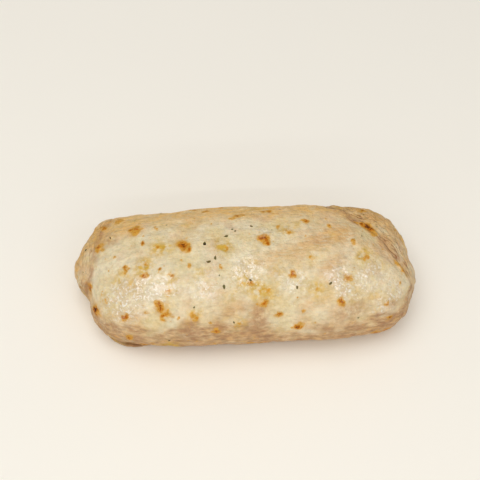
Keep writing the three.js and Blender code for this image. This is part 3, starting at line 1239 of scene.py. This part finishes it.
def herb_fleck(size, settings, draw):
    """One dry flake: a thin crumpled disc with an uneven rim, centred on the origin."""
    bpy.ops.object.select_all(action="DESELECT")
    bpy.ops.mesh.primitive_cylinder_add(
        vertices=FLECK_CORNERS,
        radius=FLECK_RADIUS * size * MM,
        depth=settings.thickness,
    )
    fleck = bpy.context.active_object
    for point in fleck.data.vertices:
        point.co.x *= draw.uniform(*FLECK_LENGTHS)
        point.co.y *= draw.uniform(*FLECK_WIDTHS)
        point.co.z += draw.uniform(-FLECK_CRUMPLE, FLECK_CRUMPLE) * settings.thickness
    return fleck


def lay_on(piece, place, facing, turn):
    """Stands a piece on a surface at a place in mm and turns it about the way the surface faces."""
    up = Vector(facing).normalized()
    stand = up.to_track_quat("Z", "Y").to_matrix().to_4x4()
    piece.data.transform(Matrix.Translation(Vector(place) * MM) @ stand @ Matrix.Rotation(turn, 4, "Z"))
    piece.matrix_world = Matrix.Identity(4)


class BURRITO_OT_herbs(bpy.types.Operator):
    """Lay the herb flecks on the tortilla as one joined piece"""

    bl_idname = "burrito.herbs"
    bl_label = "Herb flecks"

    def execute(self, context):
        settings = context.scene.burrito_herbs
        draw = np.random.default_rng(seed=51)
        tortilla = bpy.data.objects["tortilla"]
        places = places_of(tortilla)
        facings = facings_of(tortilla)
        open_places = np.flatnonzero(facings[:, 2] > 0.1)
        spots = [(spot_on(places, along, angle), size) for along, angle, size in HERBS]
        for index in draw.choice(open_places, settings.scattered, replace=False):
            spots.append((int(index), draw.uniform(*STREWN_SIZES)))
        flecks = []
        for index, size in spots:
            fleck = herb_fleck(size, settings, draw)
            lay_on(fleck, places[index], facings[index], draw.uniform(0, 2 * math.pi))
            flecks.append(fleck)
        bpy.ops.object.select_all(action="DESELECT")
        for fleck in flecks:
            fleck.select_set(True)
        bpy.context.view_layer.objects.active = flecks[0]
        bpy.ops.object.join()
        piece = bpy.context.active_object
        piece.name = piece.data.name = "herb_flecks"
        move_to(piece, inside_box(places_of(piece)))
        piece.data.materials.clear()
        piece.data.materials.append(herb_material(settings))
        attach(piece, "root")
        return {"FINISHED"}


# Stage


def soft_light(name, place, aim, width, height, power):
    """A rectangular area light at a place, pointed at another."""
    bpy.ops.object.select_all(action="DESELECT")
    bpy.ops.object.light_add(type="AREA", location=place)
    light = bpy.context.active_object
    light.name = name
    light.data.shape = "RECTANGLE"
    light.data.size = width
    light.data.size_y = height
    light.data.energy = power
    light.rotation_euler = (Vector(aim) - Vector(place)).to_track_quat("-Z", "Y").to_euler()
    return light


class BURRITO_OT_stage(bpy.types.Operator):
    """Set the pale floor, the soft lights and the camera"""

    bl_idname = "burrito.stage"
    bl_label = "Stage"

    # The middle of the burrito that the distance is measured to, and the point that fills the
    # middle of the picture, in mm.
    MIDDLE = (-0.3, -3.2, 27)
    AIM = (-2.2, 13.7, 37.1)

    # The floor's side, and the ceiling light's place and side, in metres.
    FLOOR_SIDE = 24
    CEILING_PLACE = (-0.25, -0.12, 1.5)
    CEILING_SIDE = 1.2

    # How high each tube light stands, a metre from the middle, in radians, and its size in metres.
    TUBES = (0.25, 0.52, 0.8, 1.1)
    TUBE_LENGTH = 1.8
    TUBE_WIDTH = 0.02

    # The even light is very slightly warm.
    EVEN_LIGHT = (1.0, 0.985, 0.96, 1)
    NEAREST = 0.01  # metres, where the camera's sight begins

    def execute(self, context):
        settings = context.scene.burrito_stage
        middle = Vector(self.MIDDLE) * MM
        aim = Vector(self.AIM) * MM
        flat = math.cos(settings.elevation) * settings.distance
        eye = middle + Vector((
            math.sin(settings.azimuth) * flat,
            -math.cos(settings.azimuth) * flat,
            math.sin(settings.elevation) * settings.distance,
        ))

        bpy.ops.object.select_all(action="DESELECT")
        bpy.ops.mesh.primitive_plane_add(size=self.FLOOR_SIDE)
        floor = context.active_object
        floor.name = "floor"
        floor.data.materials.append(floor_material(settings))

        side = self.CEILING_SIDE
        soft_light("ceiling", self.CEILING_PLACE, middle, side, side, settings.ceiling)
        for tube, elevation in enumerate(self.TUBES):
            reach = Vector((0, -math.cos(elevation), math.sin(elevation)))
            place = middle + reach
            soft_light(f"tube {tube}", place, middle, self.TUBE_LENGTH, self.TUBE_WIDTH, settings.tubes)

        world = bpy.data.worlds.new("even light")
        world.use_nodes = True
        background = world.node_tree.nodes["Background"]
        background.inputs["Color"].default_value = self.EVEN_LIGHT
        background.inputs["Strength"].default_value = settings.fill
        context.scene.world = world
        context.scene.view_settings.view_transform = "Standard"

        bpy.ops.object.camera_add(location=eye)
        camera = context.active_object
        sight = (aim - eye).to_track_quat("-Z", "Y").to_matrix().to_4x4()
        camera.matrix_world = Matrix.Translation(eye) @ sight @ Matrix.Rotation(settings.roll, 4, "Z")
        camera.data.lens = settings.lens
        camera.data.clip_start = self.NEAREST
        context.scene.camera = camera
        return {"FINISHED"}


class BURRITO_PT_panel(bpy.types.Panel):
    """Lists the pieces of the burrito"""

    bl_label = "Burrito"
    bl_idname = "BURRITO_PT_panel"
    bl_space_type = "VIEW_3D"
    bl_region_type = "UI"
    bl_category = "Burrito"

    def draw(self, context):
        for operator, settings in PIECES:
            column = self.layout.column()
            column.operator(operator.bl_idname)
            group = getattr(context.scene, settings)
            for name in group.bl_rna.properties.keys():
                if name not in ("rna_type", "name"):
                    column.prop(group, name)


GROUPS = {
    "burrito_tortilla": TortillaSettings,
    "burrito_herbs": HerbSettings,
    "burrito_stage": StageSettings,
}
PIECES = [
    (BURRITO_OT_tortilla, "burrito_tortilla"),
    (BURRITO_OT_herbs, "burrito_herbs"),
    (BURRITO_OT_stage, "burrito_stage"),
]
CLASSES = [*GROUPS.values(), *(operator for operator, _ in PIECES), BURRITO_PT_panel]


def register():
    for each in CLASSES:
        bpy.utils.register_class(each)
    for name, group in GROUPS.items():
        setattr(bpy.types.Scene, name, bpy.props.PointerProperty(type=group))


def unregister():
    for name in GROUPS:
        delattr(bpy.types.Scene, name)
    for each in reversed(CLASSES):
        bpy.utils.unregister_class(each)


def main():
    register()
    bpy.ops.burrito.stage()
    bpy.ops.burrito.tortilla()
    bpy.ops.burrito.herbs()
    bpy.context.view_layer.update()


if __name__ == "__main__":
    main()
